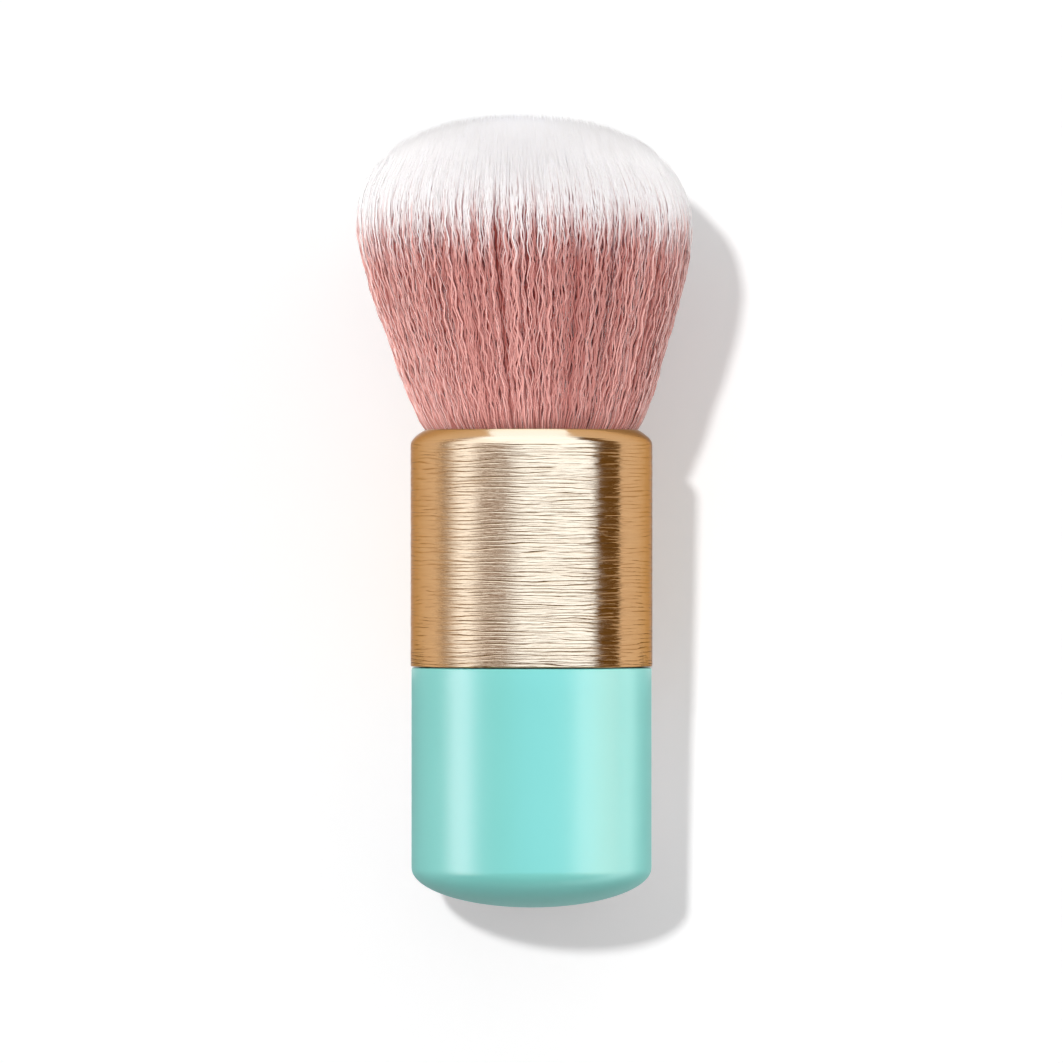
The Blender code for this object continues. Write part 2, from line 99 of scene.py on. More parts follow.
def node(tree, kind, settings=(), **inputs):
    """Adds a shader node. Settings are its own properties; inputs are values or sockets by
    name, with _ for a space and a leading i for a numbered socket, such as i0."""
    made = tree.nodes.new("ShaderNode" + kind)
    for key, value in dict(settings).items():
        setattr(made, key, value)
    for key, value in inputs.items():
        numbered = key[0] == "i" and key[1:].isdigit()
        socket = made.inputs[int(key[1:]) if numbered else key.replace("_", " ")]
        if isinstance(value, bpy.types.NodeSocket):
            tree.links.new(value, socket)
        else:
            socket.default_value = value
    return made


def maths(tree, operation, *values):
    """The result of a Math node on values or sockets."""
    inputs = {f"i{place}": value for place, value in enumerate(values)}
    return node(tree, "Math", {"operation": operation}, **inputs).outputs[0]


def smooth_step(tree, value, start, end):
    """0 below start, 1 above end and an easy slope between."""
    return node(tree, "MapRange", {"interpolation_type": "SMOOTHSTEP"}, Value=value,
                From_Min=start, From_Max=end).outputs["Result"]


def mixed(tree, share, first, second):
    """Two colours mixed by a share."""
    made = node(tree, "Mix", {"data_type": "RGBA"}, i0=share, i6=first, i7=second)
    return made.outputs[2]


def ramp(tree, value, stops, scale=1.0):
    """A colour read off at a value between (place, colour) stops, divided by a scale."""
    made = node(tree, "ValToRGB", Fac=value)
    elements = made.color_ramp.elements
    while len(elements) < len(stops):
        elements.new(1.0)
    for element, (place, colour) in zip(elements, stops):
        element.position = place
        element.color = (*(part / scale for part in colour), 1.0)
    return made.outputs["Color"]


key_light = bpy.data.lights.new("key_light", "SUN")
key_light.energy = KEY_STRENGTH
key_light.angle = KEY_SPREAD
key_lamp = bpy.data.objects.new("key_light", key_light)
bpy.context.scene.collection.objects.link(key_lamp)
key_lamp.rotation_euler = (math.atan2(-KEY_DIRECTION[1], math.hypot(1, KEY_DIRECTION[0])),
                           math.atan(KEY_DIRECTION[0]), 0)
key_lamp.visible_glossy = False

world = bpy.data.worlds.new("studio")
world.use_nodes = True
bpy.context.scene.world = world
room = world.node_tree
room.nodes.clear()
look = node(room, "SeparateXYZ", Vector=node(room, "TexCoord").outputs["Generated"]).outputs
turn = maths(room, "DIVIDE", maths(room, "ARCTAN2", look[0], look[2]), math.tau)
stops = [(0.5 + degrees / 360, colour) for degrees, colour in CARD_BANDS]
cards = ramp(room, maths(room, "ADD", turn, 0.5), stops, CARD_SCALE)
card_end = smooth_step(room, maths(room, "MULTIPLY", look[1], -1), *CARD_ENDS)
gap = maths(room, "SUBTRACT", 1.0,
            smooth_step(room, maths(room, "ABSOLUTE", look[1]), *GAP_REACH))
for start, stop, side in GAP_EDGES:
    gap = maths(room, "MULTIPLY", gap, smooth_step(room, maths(room, "MULTIPLY", turn, 360 * side),
                                                   side * start, side * stop))
cards = mixed(room, gap, cards, (*(part / CARD_SCALE for part in GAP_COLOUR), 1.0))
aside = maths(room, "ABSOLUTE", maths(room, "SUBTRACT", look[0], FAR_CARD_MIDDLE))
far = maths(room, "MULTIPLY", smooth_step(room, look[1], *FAR_CARD),
            maths(room, "SUBTRACT", 1.0, smooth_step(room, aside, *FAR_CARD_HALF)))
far_card = (*(part / CARD_SCALE for part in FAR_CARD_COLOUR), 1.0)
cards = mixed(room, far, cards, far_card)
dull_end = (*(part / CARD_SCALE for part in CARD_END_COLOUR), 1.0)
gloss_sky = node(room, "Background", Color=mixed(room, card_end, cards, dull_end),
                 Strength=CARD_SCALE)
facing = node(room, "VectorMath", {"operation": "DOT_PRODUCT"}, i1=FILL_TOWARDS,
              i0=node(room, "TexCoord").outputs["Generated"]).outputs["Value"]
fill = node(room, "MapRange", Value=facing, To_Min=FILL_LEAST, To_Max=FILL_MOST)
fill_sky = node(room, "Background", Strength=fill.outputs["Result"])
white_sky = node(room, "Background", Strength=1.0)
ray = node(room, "LightPath").outputs
lit = node(room, "MixShader", i0=ray["Is Glossy Ray"], i1=fill_sky.outputs[0],
           i2=gloss_sky.outputs[0])
seen = node(room, "MixShader", i0=ray["Is Camera Ray"], i1=lit.outputs[0],
            i2=white_sky.outputs[0])
node(room, "OutputWorld", Surface=seen.outputs[0])

# Floor: a plain pale table, which takes the shadow. What it lacks to pure white it gives off,
# but only to the eye and to gloss, so it puts no more light on the brush.
FLOOR_SIZE = 4.0
FLOOR_COLOUR = (0.80, 0.80, 0.80, 1.0)
FLOOR_GLOW = 0.325

reach = FLOOR_SIZE / 2
floor_mesh = bpy.data.meshes.new("floor")
floor_mesh.from_pydata([(-reach, -reach, 0), (reach, -reach, 0), (reach, reach, 0),
                        (-reach, reach, 0)], [], [(0, 1, 2, 3)])
floor = bpy.data.objects.new("floor", floor_mesh)
bpy.context.scene.collection.objects.link(floor)
table = bpy.data.materials.new("pale_table")
table.use_nodes = True
paint = table.node_tree
paint.nodes.clear()
ray = node(paint, "LightPath").outputs
shown = maths(paint, "MAXIMUM", maths(paint, "MAXIMUM", ray["Is Camera Ray"],
                                      ray["Is Glossy Ray"]), ray["Is Transmission Ray"])
glow = node(paint, "Emission", Strength=maths(paint, "MULTIPLY", shown, FLOOR_GLOW))
matt = node(paint, "BsdfDiffuse", Color=FLOOR_COLOUR)
both = node(paint, "AddShader", i0=matt.outputs[0], i1=glow.outputs[0])
node(paint, "OutputMaterial", Surface=both.outputs[0])
floor_mesh.materials.append(table)

# Flags: two low strips stand on the table to the sides, a bright card lies beyond the tips and a
# grey one under the handle. Only gloss sees them: they carry the cards on down to the table.
STRIP_REACH, STRIP_TOP = 0.3, 0.0256
LEFT_STRIP, RIGHT_STRIP = -0.165, 0.36            # how far to the sides the strips stand
CARD_LIFT = 0.001
FLAGS = (                         # the corners and the colour
    ((LEFT_STRIP, -STRIP_REACH, 0), (LEFT_STRIP, STRIP_REACH, 0),
     (LEFT_STRIP, STRIP_REACH, STRIP_TOP), (LEFT_STRIP, -STRIP_REACH, STRIP_TOP),
     (0.56, 0.57, 0.60)),
    ((RIGHT_STRIP, STRIP_REACH, 0), (RIGHT_STRIP, -STRIP_REACH, 0),
     (RIGHT_STRIP, -STRIP_REACH, STRIP_TOP), (RIGHT_STRIP, STRIP_REACH, STRIP_TOP),
     (0.15, 0.10, 0.03)),
    ((-0.006, 0.03, CARD_LIFT), (0.005, 0.03, CARD_LIFT), (0.44, 1.4, CARD_LIFT),
     (-0.47, 1.4, CARD_LIFT), (1.84, 2.8, 4.9)),
    ((-0.034, -0.085, CARD_LIFT), (0.036, -0.085, CARD_LIFT), (0.036, -0.017, CARD_LIFT),
     (-0.034, -0.017, CARD_LIFT), (0.40, 0.42, 0.42)))

for number, (*corners, colour) in enumerate(FLAGS, start=1):
    flag_mesh = bpy.data.meshes.new(f"flag_{number}")
    flag_mesh.from_pydata(corners, [], [(0, 1, 2, 3)])
    flag = bpy.data.objects.new(f"flag_{number}", flag_mesh)
    bpy.context.scene.collection.objects.link(flag)
    cloth = bpy.data.materials.new(f"flag_{number}")
    cloth.use_nodes = True
    cloth.node_tree.nodes.clear()
    shade = node(cloth.node_tree, "Emission", Color=(*colour, 1.0))
    node(cloth.node_tree, "OutputMaterial", Surface=shade.outputs[0])
    flag_mesh.materials.append(cloth)
    flag.visible_camera = flag.visible_diffuse = flag.visible_shadow = False
    flag.visible_transmission = False

# Handle weight: a slug of bar steel, turned and faced in a lathe, dropped into the socket.
# Fine rings from the tool run round it.
STEEL_LOW, STEEL_HIGH = (0.44, 0.44, 0.45), (0.58, 0.58, 0.59)
TOOL_RING_LENGTH, TOOL_RING_PITCH, TOOL_RING_DEPTH = 0.010, 0.00025, 0.00002


def finish(name, colour, roughness, metallic=0.0, **inputs):
    """A material, its tree and its shader, which has one colour and roughness until linked."""
    made = bpy.data.materials.new(name)
    made.use_nodes = True
    tree = made.node_tree
    tree.nodes.clear()
    shader = node(tree, "BsdfPrincipled", Base_Color=colour, Roughness=roughness,
                  Metallic=metallic, **inputs)
    node(tree, "OutputMaterial", Surface=shader.outputs[0])
    return made, tree, shader


def brush_place(tree):
    """Object coordinates turned and moved to brush coordinates: across, down and along."""
    return node(tree, "Mapping", {"vector_type": "TEXTURE"},
                Vector=node(tree, "TexCoord").outputs["Object"], Location=LIP_CENTRE,
                Rotation=(BRUSH_TILT - math.pi / 2, 0, 0)).outputs[0]


def stretched_noise(tree, place, across, along, detail=2.0):
    """Noise whose grains are this wide across the brush and this long along it, in metres."""
    scaled = node(tree, "Mapping", Vector=place,
                  Scale=(1 / across, 1 / across, 1 / along)).outputs[0]
    return node(tree, "TexNoise", Vector=scaled, Scale=1.0, Detail=detail).outputs["Fac"]


def bump(tree, shader, height, distance):
    """Gives the shader a bump of this height map, with its full height in metres."""
    made = node(tree, "Bump", Height=height, Distance=distance, Strength=1.0)
    tree.links.new(made.outputs[0], shader.inputs["Normal"])


def dress(name, made):
    """Gives a node of the CAD this material in every slot."""
    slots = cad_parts[name].data.materials
    for place in range(len(slots)):
        slots[place] = made
    if not slots:
        slots.append(made)


turned_steel, tree, shader = finish("turned_steel", (*STEEL_HIGH, 1.0), 0.34, 1.0)
rings = stretched_noise(tree, brush_place(tree), TOOL_RING_LENGTH, TOOL_RING_PITCH)
bump(tree, shader, rings, TOOL_RING_DEPTH)
tree.links.new(ramp(tree, rings, ((0.3, STEEL_LOW), (0.7, STEEL_HIGH))),
               shader.inputs["Base Color"])
dress("handle_weight", turned_steel)

# Handle plug and knot cup: plain moulded plastic in its natural colour, unseen once the brush
# is put together. Faint flow marks and the grain of the mould are all its finish.
NATURAL_LOW, NATURAL_HIGH = (0.70, 0.69, 0.64), (0.79, 0.78, 0.74)
FLOW_WIDTH, FLOW_LENGTH = 0.004, 0.009
MOULD_GRAIN, MOULD_GRAIN_DEPTH = 0.0003, 0.00001

natural_plastic, tree, shader = finish("natural_plastic", (*NATURAL_HIGH, 1.0), 0.46)
place = brush_place(tree)
flow = stretched_noise(tree, place, FLOW_WIDTH, FLOW_LENGTH)
tree.links.new(ramp(tree, flow, ((0.3, NATURAL_LOW), (0.7, NATURAL_HIGH))),
               shader.inputs["Base Color"])
bump(tree, shader, stretched_noise(tree, place, MOULD_GRAIN, MOULD_GRAIN), MOULD_GRAIN_DEPTH)
dress("handle_plug", natural_plastic)
dress("knot_cup", natural_plastic)

# Glue rings: two beads of clear adhesive, gone slightly yellow, set in the spigot's grooves.
# Small trapped bubbles make them uneven.
GLUE_LOW, GLUE_HIGH = (0.74, 0.64, 0.40), (0.84, 0.77, 0.56)
BUBBLE_SIZE, BUBBLE_DEPTH = 0.0006, 0.00003

set_glue, tree, shader = finish("set_glue", (*GLUE_HIGH, 1.0), 0.22)
bubbles = stretched_noise(tree, brush_place(tree), BUBBLE_SIZE, BUBBLE_SIZE)
tree.links.new(ramp(tree, bubbles, ((0.35, GLUE_LOW), (0.65, GLUE_HIGH))),
               shader.inputs["Base Color"])
bump(tree, shader, bubbles, BUBBLE_DEPTH)
dress("glue_ring_1", set_glue)
dress("glue_ring_2", set_glue)

# Resin bed: cast amber resin, poured into the knot's cup to pot the roots of the hair. It sets
# with faint clouds.
RESIN_LOW, RESIN_HIGH = (0.52, 0.37, 0.16), (0.68, 0.54, 0.31)
CLOUD_SIZE = 0.003

cast_resin, tree, shader = finish("cast_resin", (*RESIN_HIGH, 1.0), 0.18)
clouds = stretched_noise(tree, brush_place(tree), CLOUD_SIZE, CLOUD_SIZE, 4.0)
tree.links.new(ramp(tree, clouds, ((0.3, RESIN_LOW), (0.7, RESIN_HIGH))),
               shader.inputs["Base Color"])
dress("resin_bed", cast_resin)

# Knot band: a strip of plain aluminium, crimped round the bound roots of the hair. The rolling
# mill has left fine marks round it.
BAND_LOW, BAND_HIGH = (0.68, 0.68, 0.70), (0.80, 0.80, 0.81)
MARK_LENGTH, MARK_PITCH, MARK_DEPTH = 0.006, 0.00015, 0.00001

rolled_band, tree, shader = finish("rolled_band", (*BAND_HIGH, 1.0), 0.36, 1.0)
marks = stretched_noise(tree, brush_place(tree), MARK_LENGTH, MARK_PITCH)
tree.links.new(ramp(tree, marks, ((0.3, BAND_LOW), (0.7, BAND_HIGH))),
               shader.inputs["Base Color"])
bump(tree, shader, marks, MARK_DEPTH)
dress("knot_band", rolled_band)

# Handle shell: an injection moulded cup in mint plastic with a satin gloss, closed by a shallow
# elliptical end. Inside it has a socket for the weight, braced by six webs.
HANDLE_RADIUS = 0.0130
HANDLE_RIM = -0.02572             # its open end, along the brush from the lip
HANDLE_HEEL = -0.0517             # the middle of its domed end
HANDLE_WALL = 0.0018
DOME_HEIGHT = 0.0043
RIM_ROUND = 0.00018
SOCKET_BORE, SOCKET_RADIUS = 0.0063, 0.0077
SOCKET_FLOOR, SOCKET_TOP = -0.0495, -0.0400
WEB_THICKNESS = 0.0012
WEB_COUNT = 6
WEB_SINK = 0.0005                 # how deep a web's edges reach into the walls that it joins
TURNED_SIDES = 256
DOME_POINTS, WALL_POINTS, DISH_POINTS = 49, 9, 13
MINT_LOW, MINT_HIGH = (0.262, 0.775, 0.705), (0.272, 0.790, 0.720)
MINT_CAST = (0.50, 0.55, 0.54, 1.0)        # the greyer colour that it throws on the table
MINT_CLOUD_WIDTH, MINT_CLOUD_LENGTH = 0.007, 0.012
HAZE_SIZE, HAZE_ROUGHNESS = 0.0012, (0.30, 0.34)
RIPPLE_SIZE, RIPPLE_DEPTH = 0.0015, 0.0000008


def mesh_piece(name, points, corners, sizes, uvs, made, slot, *nodes, normals=None):
    """A smooth mesh piece on the brush's body, from its points, the corners of all its faces in
    one row, each face's number of corners, each corner's place on the UV map and, where they are
    given, the points' normals."""
    mesh = bpy.data.meshes.new(name)
    mesh.vertices.add(len(points))
    mesh.vertices.foreach_set("co", np.asarray(points, np.float32).ravel())
    mesh.loops.add(len(corners))
    mesh.loops.foreach_set("vertex_index", np.asarray(corners, np.int32))
    mesh.polygons.add(len(sizes))
    mesh.polygons.foreach_set("loop_start", (np.cumsum(sizes) - sizes).astype(np.int32))
    mesh.polygons.foreach_set("use_smooth", np.ones(len(sizes), bool))
    mesh.uv_layers.new(name="OFBake").data.foreach_set("uv", np.asarray(uvs, np.float32).ravel())
    mesh.update(calc_edges=True)
    if normals is not None:
        shading = mesh.attributes.new("custom_normal", "FLOAT_VECTOR", "POINT")
        shading.data.foreach_set("vector", np.asarray(normals, np.float32).ravel())
    mesh.materials.append(made)
    piece = bpy.data.objects.new(name, mesh)
    bpy.context.scene.collection.objects.link(piece)
    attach(piece, "root")
    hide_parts(*nodes)
    return piece


def rounded(centre, radius, start, end, steps=5):
    """Points of an arc in the profile's plane, from start to end in degrees: each is the centre
    plus the radius times the cosine and the sine of its angle."""
    angles = np.radians(np.linspace(start, end, steps + 1))
    return [(centre[0] + radius * math.cos(a), centre[1] + radius * math.sin(a))
            for a in angles]


def turned_surface(profile, lean=None):
    """A closed outline of (radius, height) turned about the axis. A point at height h and angle
    a is at radius times cos a across, radius times sin a down and h along, plus any lean. The
    outline runs so that the solid is on its left, and its ends may be on the axis."""
    outline = np.array(profile, float)
    poled = outline[0, 0] == 0
    ring = outline[1:-1] if poled else outline
    count = len(ring)
    angles = math.pi / 2 + math.tau * np.arange(TURNED_SIDES) / TURNED_SIDES
    shift = lean(ring[:, 1]) if lean else np.zeros(count)
    across = ring[:, :1] * np.cos(angles) + shift[:, None]
    down = ring[:, :1] * np.sin(angles)
    along = np.repeat(ring[:, 1:], TURNED_SIDES, 1)
    points = np.stack((across, down, along), 2).reshape(-1, 3)
    low = np.arange(count - 1 if poled else count)[:, None]
    high = (low + 1) % count
    side = np.arange(TURNED_SIDES)
    after = (side + 1) % TURNED_SIDES
    quads = np.stack((low * TURNED_SIDES + side, low * TURNED_SIDES + after,
                      high * TURNED_SIDES + after, high * TURNED_SIDES + side), 2)
    length = np.append(0, np.cumsum(np.hypot(*np.diff(ring, axis=0, append=ring[:1]).T)))
    length = length / length[-1]
    u = np.stack((side, side + 1, side + 1, side)) / TURNED_SIDES
    uvs = np.empty((len(low), TURNED_SIDES, 4, 2))
    uvs[..., 0] = u.T
    uvs[..., :2, 1] = length[low][..., None]
    uvs[..., 2:, 1] = length[low + 1][..., None]
    corners, uvs = quads.reshape(-1), uvs.reshape(-1, 2)
    sizes = np.full(len(quads) * TURNED_SIDES, 4)
    if poled:
        first, last = len(points), len(points) + 1
        ends = lean(outline[[0, -1], 1]) if lean else np.zeros(2)
        points = np.vstack((points, (ends[0], 0, outline[0, 1]), (ends[1], 0, outline[-1, 1])))
        top = (count - 1) * TURNED_SIDES
        start = np.stack((np.full(TURNED_SIDES, first), after, side), 1)
        stop = np.stack((np.full(TURNED_SIDES, last), top + side, top + after), 1)
        corners = np.concatenate((corners, start.ravel(), stop.ravel()))
        fan = np.stack((side + 0.5, side + 1, side), 1) / TURNED_SIDES
        bottom = np.stack((fan, np.zeros_like(fan)), 2)
        cap = np.stack((fan[:, (0, 2, 1)], np.ones_like(fan)), 2)
        uvs = np.concatenate((uvs, bottom.reshape(-1, 2), cap.reshape(-1, 2)))
        sizes = np.append(sizes, np.full(2 * TURNED_SIDES, 3))
    return laid(points), corners, sizes, uvs


def plates(outline, thickness, count):
    """Flat plates that stand like spokes round the axis. Each is an outline of radius and
    height, half its thickness to either side of its spoke."""
    outline = np.array(outline)
    corners_each = len(outline)
    angles = math.tau * np.arange(count)[:, None, None] / count
    side = np.array((-0.5, 0.5))[None, :, None] * thickness
    radius = outline[None, None, :, 0]
    across = radius * np.cos(angles) - side * np.sin(angles)
    down = radius * np.sin(angles) + side * np.cos(angles)
    along = np.broadcast_to(outline[:, 1], across.shape)
    points = np.stack((across, down, along), 3).reshape(-1, 3)
    step = np.arange(corners_each)
    after = (step + 1) % corners_each
    rims = np.stack((step, after, corners_each + after, corners_each + step), 1).ravel()
    plate = np.concatenate((rims, step[::-1], corners_each + step))
    sizes = [4] * corners_each + [corners_each] * 2
    first = 2 * corners_each * np.arange(count)[:, None]
    return (laid(points), (first + plate).ravel(), np.array(sizes * count),
            np.zeros((len(plate) * count, 2)) + 0.5)


satin_mint, tree, shader = finish("satin_mint_plastic", (*MINT_HIGH, 1.0), 0.27,
                                  Specular_IOR_Level=0.22)
place = brush_place(tree)
clouding = stretched_noise(tree, place, MINT_CLOUD_WIDTH, MINT_CLOUD_LENGTH, 3.0)
mint = ramp(tree, clouding, ((0.3, MINT_LOW), (0.7, MINT_HIGH)))
tree.links.new(mixed(tree, node(tree, "LightPath").outputs["Is Diffuse Ray"], mint, MINT_CAST),
               shader.inputs["Base Color"])
haze = node(tree, "MapRange", Value=stretched_noise(tree, place, HAZE_SIZE, HAZE_SIZE, 4.0),
            To_Min=HAZE_ROUGHNESS[0], To_Max=HAZE_ROUGHNESS[1])
tree.links.new(haze.outputs["Result"], shader.inputs["Roughness"])
bump(tree, shader, stretched_noise(tree, place, RIPPLE_SIZE, RIPPLE_SIZE), RIPPLE_DEPTH)

handle_bore = HANDLE_RADIUS - HANDLE_WALL
dome_start = HANDLE_HEEL + DOME_HEIGHT
dish = HANDLE_HEEL + HANDLE_WALL
dish_height = DOME_HEIGHT - HANDLE_WALL
swing = np.linspace(0, math.pi / 2, DOME_POINTS)
handle_profile = [(HANDLE_RADIUS * math.sin(a), dome_start - DOME_HEIGHT * math.cos(a))
                  for a in swing]
handle_profile[0] = (0, HANDLE_HEEL)
handle_profile += [(HANDLE_RADIUS, h)
                   for h in np.linspace(dome_start, HANDLE_RIM - RIM_ROUND, WALL_POINTS)[1:-1]]
handle_profile += rounded((HANDLE_RADIUS - RIM_ROUND, HANDLE_RIM - RIM_ROUND), RIM_ROUND, 0, 90)
handle_profile += rounded((handle_bore + RIM_ROUND, HANDLE_RIM - RIM_ROUND), RIM_ROUND, 90, 180)
dish_radii = np.linspace(handle_bore, SOCKET_RADIUS, DISH_POINTS)
dish_rise = dish_height * (1 - np.sqrt(1 - (dish_radii / handle_bore) ** 2))
handle_profile += list(zip(dish_radii, dish + dish_rise))
handle_profile += [(SOCKET_RADIUS, SOCKET_TOP), (SOCKET_BORE, SOCKET_TOP),
                   (SOCKET_BORE, SOCKET_FLOOR), (0, SOCKET_FLOOR)]
handle_body = mesh_piece("handle_body", *turned_surface(handle_profile), satin_mint,
                         "handle_plastic", "handle_shell")

web_radii = np.linspace((SOCKET_BORE + SOCKET_RADIUS) / 2, handle_bore, DISH_POINTS)
web_foot = dish + dish_height * (1 - np.sqrt(1 - (web_radii / handle_bore) ** 2)) - WEB_SINK
web_top = (SOCKET_FLOOR + SOCKET_TOP) / 2
web_outline = list(zip(web_radii, web_foot))
web_outline += [(handle_bore + WEB_SINK, dome_start), (handle_bore + WEB_SINK, web_top),
                (web_radii[0], web_top)]
webs = mesh_piece("handle_webs", *plates(web_outline, WEB_THICKNESS, WEB_COUNT), satin_mint,
                  "handle_plastic", "handle_shell")
webs.data.shade_flat()

# Four more soft strips light the handle alone: one at the left and two at the right only gleam
# on it, and the last lifts its shaded side. Each has its distance, its degrees right of straight
# up, its width in degrees, its brightness, its colour and whether it lights and doesn't gleam.
GLEAM_LENGTH = 0.62
GLEAMS = (
    (0.5, -70, 27, 14.8, (1.0, 0.51, 0.55), False),
    (0.5, 80, 76, 10.6, (1.0, 0.50, 0.47), False),
    (0.053, 80, 21, 4.5, (1.0, 0.9, 0.9), False),
    (0.5, 76, 44, 0.95, (1.0, 1.0, 1.0), True))

for number, (distance, degrees, width, brightness, colour, lights) in enumerate(GLEAMS, start=1):
    strip = bpy.data.lights.new(f"gleam_{number}", "AREA")
    strip.color = colour
    strip.shape = "RECTANGLE"
    strip.size = 2 * distance * math.tan(math.radians(width) / 2)
    strip.size_y = GLEAM_LENGTH
    strip.energy = brightness * math.pi * strip.size * strip.size_y
    lamp = bpy.data.objects.new(f"gleam_{number}", strip)
    bpy.context.scene.collection.objects.link(lamp)
    turn = math.radians(degrees)
    lamp.location = (distance * math.sin(turn), LIP_CENTRE[1] + HANDLE_RIM,
                     distance * math.cos(turn))
    lamp.rotation_euler = (0, turn, 0)
    lamp.visible_camera = lamp.visible_transmission = False
    lamp.visible_diffuse, lamp.visible_glossy = lights, not lights
    lamp.light_linking.receiver_collection = bpy.data.collections.new(f"gleam_{number}")
    lamp.light_linking.receiver_collection.objects.link(handle_body)

# Ferrule: a spun aluminium tube, anodised pale gold, glued over the plug's spigot. Its top edge
# is rolled in over the hair's roots, and it is brushed round and round with a coarse pad, which
# leaves uneven scratches.
FERRULE_RADIUS, FERRULE_BORE = 0.0131, 0.0125
FERRULE_FOOT = -0.0256
LIP_RADIUS, LIP_DEPTH, LIP_POWER = 0.01155, 0.0017, 2.1      # the shoulder's turn inwards
LIP_ROUND, LIP_CURL = 0.0013, 0.0003          # the lip's inner round, and its edge's curl
FOOT_ROUND = 0.0001
TUBE_POINTS, LIP_POINTS, CURL_STEPS, ROUND_STEPS = 13, 21, 12, 8
GOLD_GROOVE_SHADE, GOLD_MID, GOLD_LIGHT = (0.40, 0.21, 0.085), (0.61, 0.35, 0.165), (0.64, 0.38, 0.185)
GOLD_EDGE = (0.58, 0.44, 0.32, 1.0)
GROOVE_PITCH, GROOVE_SHARE = 0.00043, 0.40   # a groove's spacing, and how much of it is cut away
GROOVE_WANDER, WANDER_LENGTH, WANDER_HEIGHT = 0.0011, 0.0100, 0.0016
GROOVE_LENGTH, GROOVE_HEIGHT = 0.0048, 0.00050
GROOVE_PRESSED, GROOVE_WEIGHT = (0.30, 0.64), 0.6            # where the pad bore down
HAIRLINE_LENGTH, HAIRLINE_HEIGHT = 0.0034, 0.00017
GRAIN_MIDDLE = 0.85               # how high the unscratched metal stands on the height map
GROOVE_DEPTH = 0.000056
WORN_RANGE, WORN_ROUGHNESS = (0.36, 0.64), (0.10, 0.24)
QUARTER_TURN = 0.25               # sets the gloss's stretch along the tube, and not round it

brushed_gold, tree, shader = finish("brushed_gold_aluminium", (*GOLD_MID, 1.0), 0.2, 1.0,
                                    Anisotropic=0.4, Specular_Tint=GOLD_EDGE)
place = brush_place(tree)
level = node(tree, "SeparateXYZ", Vector=place).outputs[2]
wander = stretched_noise(tree, place, WANDER_LENGTH, WANDER_HEIGHT)
wandered = maths(tree, "MULTIPLY_ADD", wander, GROOVE_WANDER, level)
beat = maths(tree, "FRACT", maths(tree, "DIVIDE", wandered, GROOVE_PITCH))
ridge = maths(tree, "MULTIPLY", maths(tree, "ABSOLUTE", maths(tree, "SUBTRACT", beat, 0.5)), 2)
groove = maths(tree, "SUBTRACT", 1.0, smooth_step(tree, ridge, 0.0, GROOVE_SHARE))
pressed = smooth_step(tree, stretched_noise(tree, place, GROOVE_LENGTH, GROOVE_HEIGHT),
                      *GROOVE_PRESSED)
hairlines = stretched_noise(tree, place, HAIRLINE_LENGTH, HAIRLINE_HEIGHT, 3.0)
grain = maths(tree, "MULTIPLY_ADD", maths(tree, "MULTIPLY", groove, pressed), -GROOVE_WEIGHT,
              maths(tree, "SUBTRACT", hairlines, 0.5))
brushed = maths(tree, "SUBTRACT", 1.0, smooth_step(tree, level, -LIP_DEPTH, -LIP_DEPTH / 2))
grain = maths(tree, "MULTIPLY_ADD", grain, brushed, GRAIN_MIDDLE)
# The grooves take the darkest gold: painted shade in the scratches, besides their bump.
tree.links.new(ramp(tree, grain, ((0.25, GOLD_GROOVE_SHADE), (0.70, GOLD_MID), (1.0, GOLD_LIGHT))),
               shader.inputs["Base Color"])
worn = stretched_noise(tree, place, 2 * GROOVE_LENGTH, GROOVE_HEIGHT)
wear = node(tree, "MapRange", Value=worn, From_Min=WORN_RANGE[0], From_Max=WORN_RANGE[1],
            To_Min=WORN_ROUGHNESS[0], To_Max=WORN_ROUGHNESS[1])
tree.links.new(wear.outputs["Result"], shader.inputs["Roughness"])
bump(tree, shader, grain, GROOVE_DEPTH)
round_tube = node(tree, "Tangent", {"direction_type": "UV_MAP", "uv_map": "OFBake"})
tree.links.new(round_tube.outputs[0], shader.inputs["Tangent"])
shader.inputs["Anisotropic Rotation"].default_value = QUARTER_TURN

ferrule_profile = [(FERRULE_BORE, FERRULE_FOOT), (FERRULE_RADIUS - FOOT_ROUND, FERRULE_FOOT)]
ferrule_profile += rounded((FERRULE_RADIUS - FOOT_ROUND, FERRULE_FOOT + FOOT_ROUND), FOOT_ROUND,
                           -90, 0)[1:]
ferrule_profile += [(FERRULE_RADIUS, h)
                    for h in np.linspace(FERRULE_FOOT + FOOT_ROUND, -LIP_DEPTH, TUBE_POINTS)[1:-1]]
lip_inset = FERRULE_RADIUS - LIP_RADIUS
ferrule_profile += [(FERRULE_RADIUS - lip_inset * t ** LIP_POWER, LIP_DEPTH * (t - 1))
                    for t in np.linspace(0, 1, LIP_POINTS)]
lip_slope = math.atan2(LIP_POWER * lip_inset, LIP_DEPTH)
curl = (LIP_RADIUS - LIP_CURL * math.cos(lip_slope), -LIP_CURL * math.sin(lip_slope))
ferrule_profile += rounded(curl, LIP_CURL, math.degrees(lip_slope), 270, CURL_STEPS)[1:]
ferrule_profile += rounded((LIP_RADIUS, -LIP_ROUND), LIP_ROUND - 2 * LIP_CURL, 90, 0,
                           ROUND_STEPS)[1:]
mesh_piece("ferrule_tube", *turned_surface(ferrule_profile), brushed_gold, "ferrule_metal",
           "ferrule")
